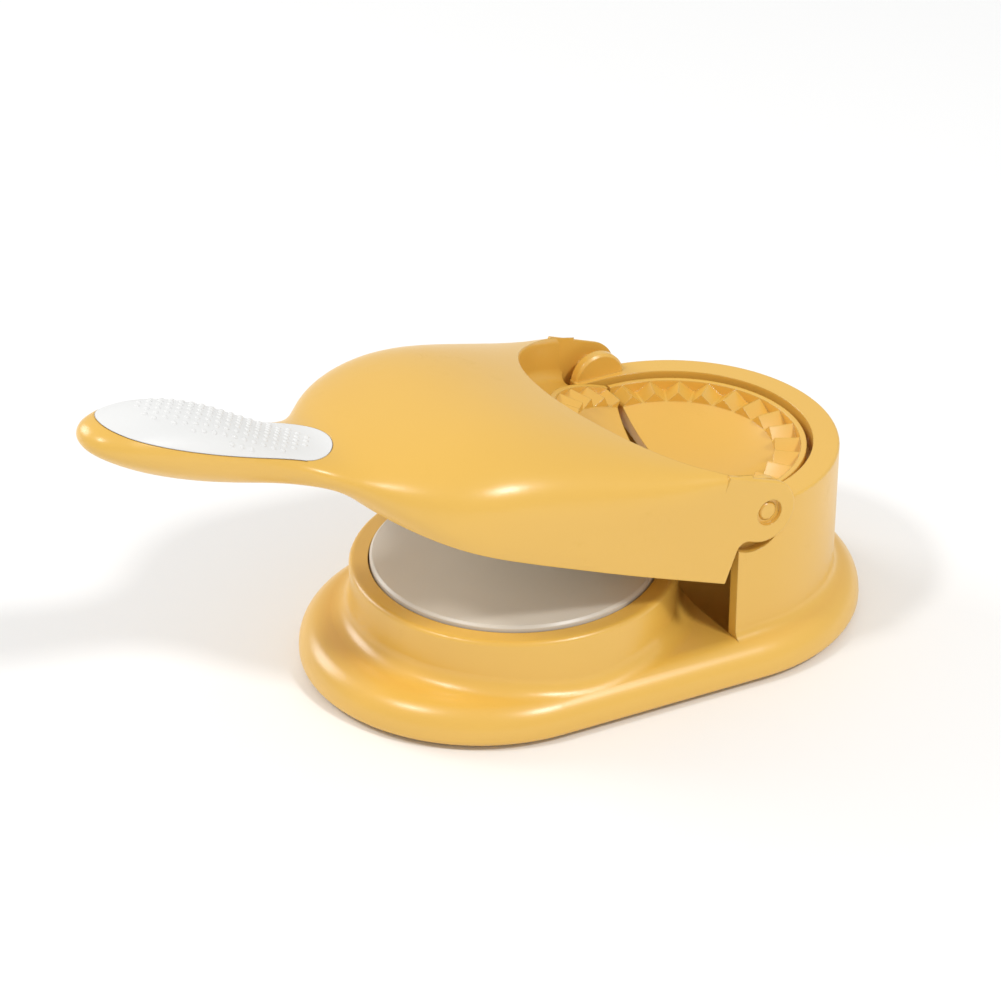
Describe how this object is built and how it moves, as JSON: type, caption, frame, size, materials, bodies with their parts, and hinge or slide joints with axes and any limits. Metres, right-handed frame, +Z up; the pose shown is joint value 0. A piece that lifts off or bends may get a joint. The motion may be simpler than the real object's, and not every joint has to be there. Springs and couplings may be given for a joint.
{
  "type": "dumpling maker",
  "caption": "Hand dumpling maker: a lever arm presses dough flat between round plates in front of a toothed half-moon folding mould hinged at the rear.",
  "frame": {"origin": "on the table, at the middle of the object's length and width, with the arm as pictured", "axes": "+X towards the mould housing at the rear, -X towards the handle, +Y to the far side, +Z up"},
  "size_m": [0.2602, 0.121, 0.1162],
  "materials": {
    "body_plastic": "satin",
    "plate_plastic": "satin",
    "grip_plastic": "satin, dotted",
    "foot_rubber": "matt",
    "screw_steel": "plain"
  },
  "bodies": {
    "base": {"base_shell": "body_plastic", "base_plate": "body_plastic", "foot_front_left": "foot_rubber", "foot_front_right": "foot_rubber", "foot_rear_left": "foot_rubber", "foot_rear_right": "foot_rubber", "base_plate_screws": "screw_steel", "lower_press_plate": "plate_plastic", "lower_plate_screws": "screw_steel", "fixed_mould_half": "body_plastic", "fixed_mould_screws": "screw_steel", "hinge_pin_left": "body_plastic", "hinge_pin_right": "body_plastic"},
    "arm": {"arm_shell": "body_plastic", "arm_cover": "body_plastic", "arm_cover_screws": "screw_steel", "upper_press_plate": "plate_plastic", "upper_plate_screws": "screw_steel", "moving_mould_half": "body_plastic", "moving_mould_screws": "screw_steel", "grip_pad": "grip_plastic"}
  },
  "joints": [
    {"name": "arm_hinge", "type": "hinge", "parent": "base", "child": "arm", "pos_m": [0.0705, 0, 0.057], "axis": [0, 1, 0], "range_deg": [-21, 157]}
  ]
}
